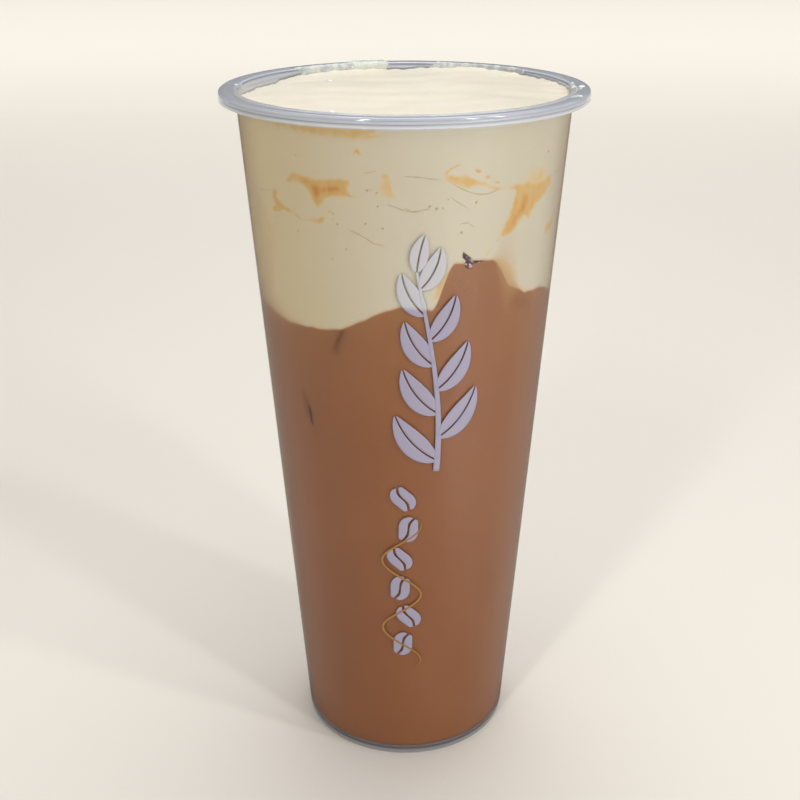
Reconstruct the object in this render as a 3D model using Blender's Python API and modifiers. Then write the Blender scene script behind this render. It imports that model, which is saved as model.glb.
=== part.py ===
"""Sea salt coffee: milk coffee under a thick salted cream, served in a tall clear plastic cup.

Three solids, in metres, with +Z up and the origin at the centre of the foot on the table:
the turned cup, the coffee up to its uneven level, and the cream from there to the mouth.
The front of the cup looks along -Y.
"""

import math

import bpy

# The cup: a tapered, injection-moulded cup with a rolled sealing rim.
CUP_HEIGHT = 0.188
RIM_RADIUS = 0.0475
BODY_TOP_RADIUS = 0.0432  # outside, just under the rim's skirt
BASE_RADIUS = 0.02955  # outside, where the wall line meets the table
WALL = 0.0008
SEGMENTS = 72

# The rim, seen from its cross-section.
SKIRT_DEPTH = 0.0032
SKIRT_WALL = 0.0008
BEAD_RADIUS = 0.0008  # the raised ring round the mouth
GROOVE_WIDTH = 0.0010
GROOVE_DROP = 0.0008  # below the top of the bead
FLANGE_DROP = 0.0005
RIM_EDGE_RADIUS = 0.0009
FLANGE_THICKNESS = 0.0008

# The foot: a ring at the edge of a base that is raised off the table.
FOOT_EDGE_RADIUS = 0.0006
FOOT_WIDTH = 0.0018
BASE_LIFT = 0.0016
BASE_THICKNESS = 0.0009
BASE_CROWN = 0.0005  # the middle of the base rises this much more
FLOOR_FILLET = 0.0024

# The contents keep this far from the cup and from each other.
GAP = 0.0003

# The coffee's level at the wall, and what rises from it round the cup.
# Angles are in degrees from the front, towards +X.
COFFEE_LEVEL = 0.1320
COFFEE_MIDDLE_RISE = 0.0055
BROAD_SWELLS = (  # angle, half width, height
    (45, 101, 0.0080),
    (-3, 23, 0.0042),
    (44.5, 6, 0.0017),
    (-75, 40, 0.0018),
    (172, 62, 0.0090),
    (-118, 42, 0.0050),
)
PEAK_RISES = (9, 17.5)  # a steep-sided peak, where an ice cube holds the cream up
PEAK_FALLS = (31, 45.5)
PEAK_MIDDLE = 24
PEAK_HEIGHT = 0.0122
PEAK_LEAN = 0.00007  # how much lower its top gets with each degree

# The cream's top: a low dome with soft folds where it settled after pouring.
CREAM_EDGE_DROP = 0.0019  # below the cup's top, at the wall
CREAM_DOME = 0.0009
CREAM_DIP_ANGLE = -105  # on the left the cream's edge sinks
CREAM_DIP_HALF_WIDTH = 40
CREAM_DIP = 0.0024
EDGE_WAVES = ((3, 0.4, 0.0004), (7, 1.9, 0.0002))  # waves round the cup, phase, height
FOLDS = (  # distance between folds, their height, direction in degrees, phase
    (0.0170, 0.00024, 84, 0.3),
    (0.0105, 0.00014, 97, 1.7),
)
FOLD_SWAY = 0.0035
FOLD_SWAY_LENGTH = 0.046

# How finely the contents' surfaces are divided.
COFFEE_TOP_RINGS = 9
CREAM_TOP_RINGS = 12
SIDE_STEPS = 4
FILLET_STEPS = 4

MERGE = 0.00001

CUP_COLOUR = (0.80, 0.82, 0.86, 1.0)
COFFEE_COLOUR = (0.32, 0.14, 0.065, 1.0)
CREAM_COLOUR = (0.87, 0.79, 0.58, 1.0)


def wall_radius(z):
    """The cup's outer radius at height z: a straight taper from the foot to the rim."""
    return BASE_RADIUS + (BODY_TOP_RADIUS - BASE_RADIUS) * z / (CUP_HEIGHT - SKIRT_DEPTH)


def inner_radius(z):
    return wall_radius(z) - WALL


def arc(centre, radius, start, end, steps):
    """Points on an arc in the cross-section, by angle in degrees from +X towards +Z."""
    angles = [math.radians(start + (end - start) * i / steps) for i in range(steps + 1)]
    return [(centre[0] + radius * math.cos(a), centre[1] + radius * math.sin(a)) for a in angles]


def floor_profile(clear):
    """The inside of the cup from the middle of the floor to the wall, moved inwards by clear."""
    floor_z = BASE_LIFT + BASE_THICKNESS + clear
    fillet = FLOOR_FILLET - clear
    fillet_z = floor_z + fillet
    fillet_x = inner_radius(fillet_z) - clear - fillet
    crown = [(0.0, floor_z + BASE_CROWN), (fillet_x * 0.5, floor_z + BASE_CROWN * 0.75)]
    return crown + arc((fillet_x, fillet_z), fillet, -90, 0, FILLET_STEPS)


def rim_profile():
    """From the mouth over the raised ring, the groove and the flange, and down the skirt."""
    top = CUP_HEIGHT
    mouth_x = inner_radius(top - SKIRT_DEPTH)
    bead = arc((mouth_x + BEAD_RADIUS, top - BEAD_RADIUS), BEAD_RADIUS, 180, 30, 5)
    groove = (mouth_x + 2 * BEAD_RADIUS + GROOVE_WIDTH / 2, top - GROOVE_DROP)
    crest = (groove[0] + GROOVE_WIDTH, top - FLANGE_DROP)
    edge_z = top - FLANGE_DROP - RIM_EDGE_RADIUS
    edge = arc((RIM_RADIUS - RIM_EDGE_RADIUS, edge_z), RIM_EDGE_RADIUS, 80, 0, 4)
    skirt_z = top - SKIRT_DEPTH
    hem_radius = SKIRT_WALL / 2
    hem = arc((RIM_RADIUS - hem_radius, skirt_z + hem_radius), hem_radius, 0, -180, 4)
    under_z = top - GROOVE_DROP - FLANGE_THICKNESS
    under = [
        (RIM_RADIUS - SKIRT_WALL, under_z - 0.0002),
        (RIM_RADIUS - SKIRT_WALL - 0.0003, under_z),
        (wall_radius(under_z) + 0.0006, under_z),
        (wall_radius(skirt_z), under_z - 0.0006),
    ]
    return bead + [groove, crest] + edge + hem + under


def foot_profile():
    """From the outer wall round the foot ring to the middle of the raised base."""
    edge_x = wall_radius(FOOT_EDGE_RADIUS) - FOOT_EDGE_RADIUS
    edge = arc((edge_x, FOOT_EDGE_RADIUS), FOOT_EDGE_RADIUS, 0, -90, 4)
    inner_x = edge_x - FOOT_WIDTH
    recess = [
        (inner_x, 0.0),
        (inner_x - 0.0004, 0.0004),
        (inner_x - 0.0006, BASE_LIFT - 0.0004),
        (inner_x - 0.0010, BASE_LIFT),
        (inner_x * 0.5, BASE_LIFT + BASE_CROWN * 0.75),
        (0.0, BASE_LIFT + BASE_CROWN),
    ]
    return edge + recess


def turned(name, profile, collection):
    """Turns a profile of (radius, height) points round the Z axis with a Screw modifier."""
    mesh = bpy.data.meshes.new(name)
    edges = [(i, i + 1) for i in range(len(profile) - 1)]
    mesh.from_pydata([(x, 0.0, z) for x, z in profile], edges, [])
    obj = bpy.data.objects.new(name, mesh)
    collection.objects.link(obj)
    screw = obj.modifiers.new("Turn", "SCREW")
    screw.axis = "Z"
    screw.angle = 2 * math.pi
    screw.steps = screw.render_steps = SEGMENTS
    screw.use_merge_vertices = True
    screw.merge_threshold = MERGE
    screw.use_smooth_shade = True
    return obj


def baked(obj):
    """The object with its modifiers applied, so that its points can be moved."""
    bpy.context.view_layer.update()
    evaluated = obj.evaluated_get(bpy.context.evaluated_depsgraph_get())
    mesh = bpy.data.meshes.new_from_object(evaluated)
    obj.modifiers.clear()
    old = obj.data
    obj.data = mesh
    bpy.data.meshes.remove(old)
    mesh.name = obj.name
    return obj


def cosine_swell(distance, half_width):
    """1 in the middle and 0 at half_width, with a smooth top and foot."""
    if abs(distance) >= half_width:
        return 0.0
    return 0.5 * (1 + math.cos(math.pi * distance / half_width))


def smooth_step(value, start, end):
    """0 up to start, then a smooth rise to 1 at end."""
    share = min(1.0, max(0.0, (value - start) / (end - start)))
    return share * share * (3 - 2 * share)


def turn_between(angle, middle):
    """The shortest way from middle to angle, in degrees."""
    return (angle - middle + 180) % 360 - 180


def coffee_height(x, y):
    """The height of the coffee's surface. It is set at the wall and levels out to the middle."""
    angle = math.degrees(math.atan2(x, -y))
    rise = sum(h * cosine_swell(turn_between(angle, a), w) for a, w, h in BROAD_SWELLS)
    peak = smooth_step(angle, *PEAK_RISES) * (1 - smooth_step(angle, *PEAK_FALLS))
    rise += peak * (PEAK_HEIGHT - PEAK_LEAN * (angle - PEAK_MIDDLE))
    share = min(1.0, math.hypot(x, y) / inner_radius(COFFEE_LEVEL)) ** 1.5
    return COFFEE_LEVEL + rise * share + COFFEE_MIDDLE_RISE * (1 - share)


def cream_height(x, y):
    """The height of the cream's top."""
    turn = math.atan2(x, -y)
    share = min(1.0, math.hypot(x, y) / inner_radius(CUP_HEIGHT - CREAM_EDGE_DROP))
    height = CUP_HEIGHT - CREAM_EDGE_DROP + CREAM_DOME * (1 - share**2)
    height += share**2 * sum(h * math.sin(n * turn + phase) for n, phase, h in EDGE_WAVES)
    dip_turn = turn_between(math.degrees(turn), CREAM_DIP_ANGLE)
    height -= share**4 * CREAM_DIP * cosine_swell(dip_turn, CREAM_DIP_HALF_WIDTH)
    for spacing, fold_height, direction, phase in FOLDS:
        across = x * math.cos(math.radians(direction)) + y * math.sin(math.radians(direction))
        along = y * math.cos(math.radians(direction)) - x * math.sin(math.radians(direction))
        sway = FOLD_SWAY * math.sin(2 * math.pi * along / FOLD_SWAY_LENGTH + phase)
        height += fold_height * math.sin(2 * math.pi * (across + sway) / spacing + phase)
    return height


def ring_shares(rings):
    """Shares of the radius from the wall to the middle, without the wall's own."""
    return [1 - (i + 1) / rings for i in range(rings)]


def poured(blank, low, high, low_at, high_at):
    """Lifts the points of a plain turned filling between the heights low and high until its
    surfaces follow low_at(x, y) and high_at(x, y). Its side stays on the cup's taper."""
    obj = baked(blank)
    for vertex in obj.data.vertices:
        x, y, z = vertex.co
        share = min(1.0, max(0.0, (z - low) / (high - low)))
        if z < low - MERGE:
            continue
        bottom, top = low_at(x, y), high_at(x, y)
        new_z = bottom + (top - bottom) * share
        spread = (inner_radius(new_z) - GAP) / (inner_radius(z) - GAP)
        vertex.co = (x * spread, y * spread, new_z)
    return obj


def side_points(low, high):
    """Points up the side of a filling, from high down to low, both included."""
    heights = [high + (low - high) * i / SIDE_STEPS for i in range(SIDE_STEPS + 1)]
    return [(inner_radius(z) - GAP, z) for z in heights]


def disc_points(z, rings, centre_first):
    """Points across a filling's flat face at height z."""
    radius = inner_radius(z) - GAP
    points = [(radius * share, z) for share in ring_shares(rings)]
    return points[::-1] if centre_first else points


def make_cup(collection):
    profile = floor_profile(0.0) + rim_profile() + foot_profile()
    return turned("cup", profile, collection)


def make_milk_coffee(collection):
    """The drink, from the cup's floor to its uneven level."""
    floor = floor_profile(GAP)
    side_low = floor[-1][1]
    side = side_points(side_low, COFFEE_LEVEL)
    profile = disc_points(COFFEE_LEVEL, COFFEE_TOP_RINGS, True) + side + floor[-2::-1]
    blank = turned("milk_coffee", profile, collection)
    return poured(blank, side_low, COFFEE_LEVEL, lambda x, y: side_low, coffee_height)


def make_cream_cap(collection):
    """The salted cream, from just above the coffee to the mouth of the cup."""
    low, high = COFFEE_LEVEL + GAP, CUP_HEIGHT - CREAM_EDGE_DROP
    top = disc_points(high, CREAM_TOP_RINGS, True)
    bottom = disc_points(low, COFFEE_TOP_RINGS, False)
    blank = turned("cream_cap", top + side_points(low, high) + bottom, collection)
    return poured(blank, low, high, lambda x, y: coffee_height(x, y) + GAP, cream_height)


def give_material(obj, colour, roughness):
    material = bpy.data.materials.new(obj.name)
    material.use_nodes = True
    shader = material.node_tree.nodes["Principled BSDF"]
    shader.inputs["Base Color"].default_value = colour
    shader.inputs["Roughness"].default_value = roughness
    shader.inputs["Metallic"].default_value = 0.0
    obj.data.materials.clear()
    obj.data.materials.append(material)


def main():
    for obj in list(bpy.data.objects):
        bpy.data.objects.remove(obj, do_unlink=True)
    collection = bpy.data.collections.new("sea_salt_coffee")
    bpy.context.scene.collection.children.link(collection)
    for make, colour, roughness in (
        (make_cup, CUP_COLOUR, 0.12),
        (make_milk_coffee, COFFEE_COLOUR, 0.25),
        (make_cream_cap, CREAM_COLOUR, 0.4),
    ):
        give_material(make(collection), colour, roughness)


main()
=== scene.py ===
# %% [markdown]
# # Sea salt coffee
# A tall clear plastic cup holds iced milk coffee under a thick cap of salted cream.
# The cream was poured last, so it pressed down into the coffee, and the border between
# the two runs unevenly round the wall. Some coffee crept up between the cream and the wall.
#
# A Blender scene can import a finished model and dress it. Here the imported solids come
# first, as a fixed frame, and every new piece is made where they already are, in metres.

# %% Load the frame
import math
import random

import bmesh
import bpy
import numpy as np
from mathutils import Euler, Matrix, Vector


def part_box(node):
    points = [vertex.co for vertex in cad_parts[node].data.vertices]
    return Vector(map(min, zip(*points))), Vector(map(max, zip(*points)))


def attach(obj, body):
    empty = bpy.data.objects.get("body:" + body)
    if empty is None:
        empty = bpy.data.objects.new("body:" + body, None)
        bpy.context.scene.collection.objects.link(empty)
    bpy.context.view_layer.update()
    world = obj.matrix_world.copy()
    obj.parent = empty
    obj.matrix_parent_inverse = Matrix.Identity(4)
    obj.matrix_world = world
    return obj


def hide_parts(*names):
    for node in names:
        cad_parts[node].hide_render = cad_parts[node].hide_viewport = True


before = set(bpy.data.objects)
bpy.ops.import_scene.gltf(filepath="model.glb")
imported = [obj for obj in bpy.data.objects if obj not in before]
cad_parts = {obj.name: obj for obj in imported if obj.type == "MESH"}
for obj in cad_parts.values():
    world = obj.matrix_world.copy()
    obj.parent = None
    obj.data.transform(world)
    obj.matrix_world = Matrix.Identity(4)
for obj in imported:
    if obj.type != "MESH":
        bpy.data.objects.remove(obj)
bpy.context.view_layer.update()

# %% [markdown]
# ## The measures of the cup
# A turned piece is best described by a few named sizes. These are the same ones that the
# solids were made from, and the two radii below give the wall's radius at any height.

# %% Measures
CUP_HEIGHT = 0.188
RIM_RADIUS = 0.0475
BODY_TOP_RADIUS = 0.0432
BASE_RADIUS = 0.02955
WALL = 0.0008
SKIRT_DEPTH = 0.0032
SKIRT_WALL = 0.0008
BEAD_RADIUS = 0.0008
GROOVE_WIDTH = 0.0010
GROOVE_DROP = 0.0008
FLANGE_DROP = 0.0005
RIM_EDGE_RADIUS = 0.0009
FLANGE_THICKNESS = 0.0008
FOOT_EDGE_RADIUS = 0.0006
FOOT_WIDTH = 0.0018
BASE_LIFT = 0.0016
BASE_THICKNESS = 0.0009
BASE_CROWN = 0.0005
FLOOR_FILLET = 0.0024
INTO_WALL = 0.0003  # how far the fillings reach into the wall, so that no air shows


def wall_radius(z):
    """The outside of the wall. It works on one height or on a whole array of them."""
    return BASE_RADIUS + (BODY_TOP_RADIUS - BASE_RADIUS) * z / (CUP_HEIGHT - SKIRT_DEPTH)


def inner_radius(z):
    return wall_radius(z) - WALL


low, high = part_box("cup")
print("cup height", round(high.z - low.z, 4), "against", CUP_HEIGHT)
print("rim radius", round(high.x, 4), "against", RIM_RADIUS)

# %% [markdown]
# ## The camera
# The camera looks down at the front of the cup. Its place is set in metres and its turn in
# degrees. A small shift moves the frame without turning the camera, so the cup's sides
# don't lean.

# %% Camera
CAMERA_PLACE = (0.0, -0.31331, 0.23497)
CAMERA_PITCH = 22.0
CAMERA_ROLL = 0.115
camera_data = bpy.data.cameras.new("camera")
camera_data.sensor_width = 36.0
camera_data.lens = 54.113
camera_data.shift_x = -0.00505
camera_data.shift_y = -0.03601
camera_data.clip_start = 0.01
camera = bpy.data.objects.new("camera", camera_data)
bpy.context.scene.collection.objects.link(camera)
camera.location = CAMERA_PLACE
camera.rotation_euler = (math.radians(90 - CAMERA_PITCH), math.radians(CAMERA_ROLL), 0.0)
bpy.context.scene.camera = camera
print("camera", round(math.dist(CAMERA_PLACE, (0, 0, 0.1)), 3), "m from the cup's middle")


# %% [markdown]
# ## Small helpers for making pieces
# A bmesh is an open mesh that operators can work on. When it is ready, it is written into
# an ordinary mesh, and an object carries that mesh at the origin. Moving tens of thousands
# of points one by one is slow, so the fillings below move theirs as one array.

# %% Helpers for pieces
TOUCHING = 1e-6  # points that are nearer to each other than this are one point


def finish_piece(name, bm, materials, node=None):
    """Writes a bmesh into an object that rides on the cup."""
    bmesh.ops.recalc_face_normals(bm, faces=bm.faces)
    mesh = bpy.data.meshes.new(name)
    bm.to_mesh(mesh)
    bm.free()
    mesh.shade_smooth()
    for material in materials:
        mesh.materials.append(material)
    piece = bpy.data.objects.new(name, mesh)
    bpy.context.scene.collection.objects.link(piece)
    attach(piece, "root")
    if node:
        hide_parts(node)
    print(name, len(mesh.polygons), "faces")
    return piece


def turn_profile(bm, points, segments):
    """Joins (radius, height) points by edges and spins them once round the Z axis."""
    verts = [bm.verts.new((x, 0.0, z)) for x, z in points]
    edges = [bm.edges.new(pair) for pair in zip(verts, verts[1:])]
    bmesh.ops.spin(
        bm,
        geom=verts + edges,
        cent=(0, 0, 0),
        axis=(0, 0, 1),
        angle=2 * math.pi,
        steps=segments,
        use_merge=True,
    )
    bmesh.ops.remove_doubles(bm, verts=bm.verts, dist=TOUCHING)


def sharpen_corners(bm, degrees=50):
    """Keeps smooth shading from rolling over a corner."""
    for edge in bm.edges:
        edge.smooth = edge.calc_face_angle(0.0) < math.radians(degrees)


def arc(centre, radius, start, end, steps):
    """Points on an arc of a profile, by angle in degrees from outwards towards up."""
    angles = [math.radians(start + (end - start) * i / steps) for i in range(steps + 1)]
    return [(centre[0] + radius * math.cos(a), centre[1] + radius * math.sin(a)) for a in angles]


def read_points(mesh):
    flat = np.empty(len(mesh.vertices) * 3, np.float32)
    mesh.vertices.foreach_get("co", flat)
    return flat.reshape(-1, 3).astype(float)


def write_points(mesh, points):
    mesh.vertices.foreach_set("co", np.ascontiguousarray(points, np.float32).ravel())
    mesh.update()


def write_value(mesh, name, values):
    """Stores one number for each point, which a material can read by name."""
    layer = mesh.attributes.new(name, "FLOAT", "POINT")
    layer.data.foreach_set("value", np.ascontiguousarray(values, np.float32))


# %% [markdown]
# ## Small helpers for materials
# A material is a tree of nodes. These helpers place a node, join sockets and keep the
# recipes below short. Patterns read Object coordinates, which are metres on the piece
# itself, so nothing slides when the camera moves.

# %% Helpers for materials
def new_material(name):
    material = bpy.data.materials.new(name)
    material.use_nodes = True
    return material, material.node_tree, material.node_tree.nodes["Principled BSDF"]


def add(tree, kind, values=None, **settings):
    """Places a node. values fills its inputs by name or number."""
    node = tree.nodes.new("ShaderNode" + kind)
    for key, value in settings.items():
        setattr(node, key, value)
    for key, value in (values or {}).items():
        node.inputs[key].default_value = value
    return node


def feed(tree, value, socket):
    """Joins a socket, or sets a number or a colour."""
    if isinstance(value, bpy.types.NodeSocket):
        tree.links.new(value, socket)
    elif isinstance(value, tuple):
        socket.default_value = (*value, 1.0)[:4]
    else:
        socket.default_value = value


def maths(tree, operation, first, second):
    node = add(tree, "Math", operation=operation)
    feed(tree, first, node.inputs[0])
    feed(tree, second, node.inputs[1])
    return node.outputs[0]


def spread(tree, value, low, high, new_low=0.0, new_high=1.0):
    """A Map Range node: low..high becomes new_low..new_high, with soft ends."""
    node = add(tree, "MapRange", interpolation_type="SMOOTHSTEP")
    for name, number in zip(
        ("Value", "From Min", "From Max", "To Min", "To Max"), (value, low, high, new_low, new_high)
    ):
        feed(tree, number, node.inputs[name])
    return node.outputs["Result"]


def tint(tree, share, first, second):
    """A Mix node for colours, from first to second."""
    node = add(tree, "Mix", data_type="RGBA")
    for value, number in ((share, 0), (first, 6), (second, 7)):
        feed(tree, value, node.inputs[number])
    return node.outputs[2]


def noise(tree, scale, detail, stretch=(1, 1, 1)):
    """Noise on Object coordinates. scale counts features per metre."""
    place = add(tree, "TexCoord")
    mapping = add(tree, "Mapping", {"Scale": stretch})
    texture = add(tree, "TexNoise", {"Scale": scale, "Detail": detail})
    tree.links.new(place.outputs["Object"], mapping.inputs["Vector"])
    tree.links.new(mapping.outputs["Vector"], texture.inputs["Vector"])
    return texture.outputs["Fac"]


def stored(tree, name):
    return add(tree, "Attribute", attribute_name=name).outputs["Fac"]


def bump(tree, height, distance):
    node = add(tree, "Bump", {"Distance": distance, "Strength": 1.0})
    tree.links.new(height, node.inputs["Height"])
    return node.outputs["Normal"]


PATTERN_RANGE = (0.3, 0.7)  # nearly all values of a noise lie between these


def shades(tree, pattern, dark, light):
    """Two colours, mixed by a pattern."""
    return tint(tree, spread(tree, pattern, *PATTERN_RANGE), dark, light)


def set_surface(tree, shader, colour, pattern, rough, relief, depth):
    """Sets the colour, a roughness that follows a pattern, and a fine relief."""
    feed(tree, colour, shader.inputs["Base Color"])
    feed(tree, spread(tree, pattern, *PATTERN_RANGE, *rough), shader.inputs["Roughness"])
    feed(tree, bump(tree, relief, depth), shader.inputs["Normal"])


# %% [markdown]
# ## A shared effect: uneven film
# Cream, coffee, ink and plastic are never one flat colour. This node group gives a soft
# shade that drifts over the surface, with a fine grain in it. It is built once, and each
# material sets its own sizes.

# %% The uneven film group
def make_film_group():
    group = bpy.data.node_groups.new("uneven_film", "ShaderNodeTree")
    for name, value in (("Drift Scale", 40.0), ("Grain Scale", 900.0), ("Grain Share", 0.3)):
        socket = group.interface.new_socket(name, in_out="INPUT", socket_type="NodeSocketFloat")
        socket.default_value = value
    for name in ("Shade", "Grain"):
        group.interface.new_socket(name, in_out="OUTPUT", socket_type="NodeSocketFloat")
    begin = group.nodes.new("NodeGroupInput")
    end = group.nodes.new("NodeGroupOutput")
    place = add(group, "TexCoord")
    drift = add(group, "TexNoise", {"Detail": 3.0, "Roughness": 0.55})
    grain = add(group, "TexNoise", {"Detail": 2.0})
    for texture, scale in ((drift, "Drift Scale"), (grain, "Grain Scale")):
        group.links.new(place.outputs["Object"], texture.inputs["Vector"])
        group.links.new(begin.outputs[scale], texture.inputs["Scale"])
    rest = maths(group, "SUBTRACT", 1.0, begin.outputs["Grain Share"])
    drift_part = maths(group, "MULTIPLY", drift.outputs["Fac"], rest)
    grain_part = maths(group, "MULTIPLY", grain.outputs["Fac"], begin.outputs["Grain Share"])
    group.links.new(maths(group, "ADD", drift_part, grain_part), end.inputs["Shade"])
    group.links.new(grain.outputs["Fac"], end.inputs["Grain"])
    return group


FILM = make_film_group()


def film(tree, drift, grain, share):
    node = add(tree, "Group")
    node.node_tree = FILM
    for name, value in (("Drift Scale", drift), ("Grain Scale", grain), ("Grain Share", share)):
        node.inputs[name].default_value = value
    return node.outputs["Shade"], node.outputs["Grain"]


print("group sockets", [item.name for item in FILM.interface.items_tree])

# %% [markdown]
# ## The clear plastic
# The cup is clear, slightly bluish moulded plastic. Transmission bends and mirrors light as
# the plastic does. Lamps can't be sampled through bent light, so for shadow and diffuse rays
# a Transparent shader takes its place, and the drink inside is lit cleanly. The rim and the
# foot are thicker and look milky, so they have a recipe of their own with a little body.

# %% Clear plastic
WALL_PASSES = 0.68  # the share of light that the thin wall neither bends nor mirrors
EDGE_SHADE_TINT = (0.40, 0.29, 0.19)  # brownish painted shade at the cup's edges, partly also the longer way light takes through the plastic
EDGE_START = 0.60  # how far the surface has turned away where that tint begins
# The colour of the painted highlights on the rim's ridges.
RIDGE_HIGHLIGHT = (0.86, 0.88, 0.92)
FINE_RELIEF = 0.00002


def make_plastic(name, colour, transmission, rough, painted_shade=None):
    """The thin wall's plastic, or the thick one, which has a colour for its painted shade and
    painted highlights on its ridges.
    """
    material, tree, shader = new_material(name)
    shader.inputs["Transmission Weight"].default_value = transmission
    shader.inputs["IOR"].default_value = 1.49 if painted_shade else 1.35
    shader.inputs["Specular IOR Level"].default_value = 0.75 if painted_shade else 0.5
    shade, _ = film(tree, 70.0, 1400.0, 0.12)
    body = tint(tree, shade, tuple(c * 0.94 for c in colour), colour)
    if painted_shade:
        # Painted highlights on the ridges.
        body = tint(tree, stored(tree, "ridge_highlight"), body, RIDGE_HIGHLIGHT)
        # Painted shade in the folds, under the flange and along the cream's edge.
        body = tint(tree, stored(tree, "painted_shade"), body, painted_shade)
    set_surface(tree, shader, body, shade, (rough * 0.8, rough * 1.25), shade, FINE_RELIEF)
    path = add(tree, "LightPath")
    soft_ray = maths(tree, "MAXIMUM", path.outputs["Is Shadow Ray"], path.outputs["Is Diffuse Ray"])
    if not painted_shade:
        soft_ray = maths(tree, "MAXIMUM", soft_ray, WALL_PASSES)
    facing = add(tree, "LayerWeight", {"Blend": 0.5}).outputs["Facing"]
    clear = tuple(c**0.25 for c in colour)
    through = add(tree, "BsdfTransparent")
    # Seen edge on, the see-through colour turns to the brownish painted shade.
    edge_on = spread(tree, facing, EDGE_START, 1.0)
    feed(tree, tint(tree, edge_on, clear, EDGE_SHADE_TINT), through.inputs["Color"])
    mix = add(tree, "MixShader")
    for number, source in enumerate((soft_ray, shader.outputs[0], through.outputs[0])):
        tree.links.new(source, mix.inputs[number])
    tree.links.new(mix.outputs[0], tree.nodes["Material Output"].inputs["Surface"])
    return material


CLEAR_WALL = make_plastic("clear_wall", (0.90, 0.91, 0.94), 1.0, 0.11)
# The last colour of each milky plastic is its painted shade.
MILKY_RIM = make_plastic("milky_rim", (0.62, 0.645, 0.70), 0.5, 0.05, (0.20, 0.22, 0.27))
MILKY_FOOT = make_plastic("milky_foot", (0.46, 0.46, 0.49), 0.5, 0.07, (0.11, 0.075, 0.085))

# %% [markdown]
# ## The cup
# The real cup is moulded round one axis, so half of its cross-section holds the whole
# shape. The profile below climbs the inside, rolls over the sealing rim, and comes down the
# outside to the foot. Spinning it with many steps keeps the edge smooth.

# %% Cup profile
CUP_SEGMENTS = 192
MOUTH_X = inner_radius(CUP_HEIGHT - SKIRT_DEPTH)
GROOVE_X = MOUTH_X + 2 * BEAD_RADIUS + GROOVE_WIDTH / 2
GROOVE_FLAT = 0.0002  # half the width of the groove's flat bottom
LIP_BOTTOM = 0.1832  # above this the plastic is thicker and milky
LIP_STEP = 0.00022  # the rows on the lip are close, because a fine dark line is drawn there
BEAD_TOP = CUP_HEIGHT - 0.00045  # the ring round the mouth stands hardly above the flange
CHAMFER = 0.00038  # a narrow slope that mirrors the lights
LINE_HEIGHT = 0.1859  # a fine moulded line round the skirt
LINE_DEPTH = 0.00009
LINE_STEP = 0.0002
LINE_SHAPE = ((0.0, 1.2), (0.8, 0.5), (1.3, -0.3), (1.2, -0.6), (0.1, -2.4))
FOOT_TOP = 0.0024
FOOT_ROWS = (FOOT_TOP, 0.0022, 0.0020, 0.0017, 0.0014, 0.0011, 0.0008)


def floor_profile(clear, steps, fillet=FLOOR_FILLET):
    floor_z = BASE_LIFT + BASE_THICKNESS + clear
    fillet -= clear
    fillet_z = floor_z + fillet
    fillet_x = inner_radius(fillet_z) - clear - fillet
    crown = [(0.0, floor_z + BASE_CROWN), (fillet_x * 0.5, floor_z + BASE_CROWN * 0.75)]
    return crown + arc((fillet_x, fillet_z), fillet, -90, 0, steps)


def rim_profile():
    top = CUP_HEIGHT
    lip_heights = np.arange(LIP_BOTTOM, BEAD_TOP - BEAD_RADIUS - 0.0001, LIP_STEP)
    bead = [(min(inner_radius(z), MOUTH_X), float(z)) for z in lip_heights]
    bead += arc((MOUTH_X + BEAD_RADIUS, BEAD_TOP - BEAD_RADIUS), BEAD_RADIUS, 180, 30, 12)
    groove = [(GROOVE_X + side * GROOVE_FLAT, top - GROOVE_DROP) for side in (-1, 1)]
    crest = [
        (GROOVE_X + GROOVE_WIDTH * 0.8, top - FLANGE_DROP - 0.00003),
        (GROOVE_X + GROOVE_WIDTH, top - FLANGE_DROP),
    ]
    edge_z = top - FLANGE_DROP - RIM_EDGE_RADIUS
    edge = arc((RIM_RADIUS - RIM_EDGE_RADIUS, edge_z), RIM_EDGE_RADIUS, 80, 34, 7)
    edge += [(RIM_RADIUS - 0.00001, edge[-1][1] - CHAMFER)]
    line = [
        (RIM_RADIUS - LINE_DEPTH * part, LINE_HEIGHT + LINE_STEP * up) for part, up in LINE_SHAPE
    ]
    skirt_z = top - SKIRT_DEPTH
    hem_radius = SKIRT_WALL / 2
    hem = arc((RIM_RADIUS - hem_radius, skirt_z + hem_radius), hem_radius, 0, -180, 10)
    under_z = top - GROOVE_DROP - FLANGE_THICKNESS
    under = [
        (RIM_RADIUS - SKIRT_WALL, under_z - 0.0002),
        (RIM_RADIUS - SKIRT_WALL - 0.0001, under_z - 0.00005),
        (RIM_RADIUS - SKIRT_WALL - 0.0003, under_z),
        (wall_radius(under_z) + 0.0006, under_z),
        (wall_radius(under_z) + 0.0002, under_z - 0.0002),
        (wall_radius(skirt_z), under_z - 0.0006),
    ]
    return bead + groove + crest + edge + line + hem + under


def foot_profile():
    edge_x = wall_radius(FOOT_EDGE_RADIUS) - FOOT_EDGE_RADIUS
    above = [(wall_radius(z), z) for z in FOOT_ROWS]
    edge = arc((edge_x, FOOT_EDGE_RADIUS), FOOT_EDGE_RADIUS, 0, -90, 8)
    inner_x = edge_x - FOOT_WIDTH
    recess = [
        (inner_x, 0.0),
        (inner_x - 0.0003, 0.0002),
        (inner_x - 0.0004, 0.0004),
        (inner_x - 0.0006, BASE_LIFT - 0.0004),
        (inner_x - 0.0007, BASE_LIFT - 0.0001),
        (inner_x - 0.0010, BASE_LIFT),
        (inner_x * 0.5, BASE_LIFT + BASE_CROWN * 0.75),
        (0.0, BASE_LIFT + BASE_CROWN),
    ]
    return above + edge + recess


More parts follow.
